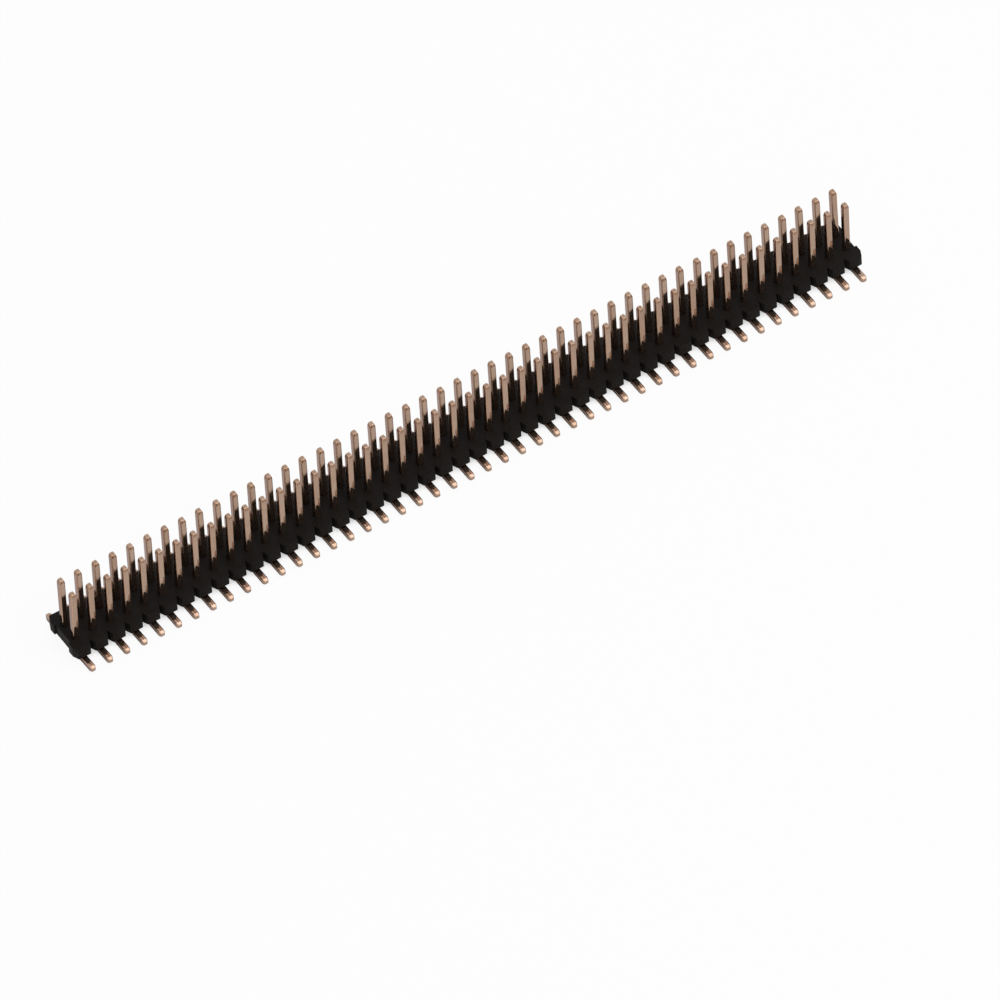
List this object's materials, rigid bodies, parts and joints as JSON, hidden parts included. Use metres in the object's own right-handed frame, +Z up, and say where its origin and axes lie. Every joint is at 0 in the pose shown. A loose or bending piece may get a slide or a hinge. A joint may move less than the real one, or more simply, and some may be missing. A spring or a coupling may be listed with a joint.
{
  "type": "pin header strip",
  "caption": "Two-row surface-mount pin header strip: black insulator with V notches, square gold-plated contacts that stand up to mate and bend outward below as solder feet.",
  "frame": {"origin": "centre of the strip's footprint on the board, on the plane that the feet stand on", "axes": "+X along the strip, +Z up along the mating pins, the two rows of feet point to -Y and +Y"},
  "size_m": [0.0584, 0.0054, 0.0055],
  "materials": {
    "moulding": "black glass-filled moulding, satin, with a fine spark texture",
    "plating": "thin bright gold plating over nickel on square brass wire"
  },
  "bodies": {
    "root": {"insulator": "moulding", "contact_pair_01": "plating", "contact_pair_02": "plating", "contact_pair_03": "plating", "contact_pair_04": "plating", "contact_pair_05": "plating", "contact_pair_06": "plating", "contact_pair_07": "plating", "contact_pair_08": "plating", "contact_pair_09": "plating", "contact_pair_10": "plating", "contact_pair_11": "plating", "contact_pair_12": "plating", "contact_pair_13": "plating", "contact_pair_14": "plating", "contact_pair_15": "plating", "contact_pair_16": "plating", "contact_pair_17": "plating", "contact_pair_18": "plating", "contact_pair_19": "plating", "contact_pair_20": "plating", "contact_pair_21": "plating", "contact_pair_22": "plating", "contact_pair_23": "plating", "contact_pair_24": "plating", "contact_pair_25": "plating", "contact_pair_26": "plating", "contact_pair_27": "plating", "contact_pair_28": "plating", "contact_pair_29": "plating", "contact_pair_30": "plating", "contact_pair_31": "plating", "contact_pair_32": "plating", "contact_pair_33": "plating", "contact_pair_34": "plating", "contact_pair_35": "plating", "contact_pair_36": "plating", "contact_pair_37": "plating", "contact_pair_38": "plating", "contact_pair_39": "plating", "contact_pair_40": "plating", "contact_pair_41": "plating", "contact_pair_42": "plating", "contact_pair_43": "plating", "contact_pair_44": "plating", "contact_pair_45": "plating", "contact_pair_46": "plating"}
  },
  "joints": []
}
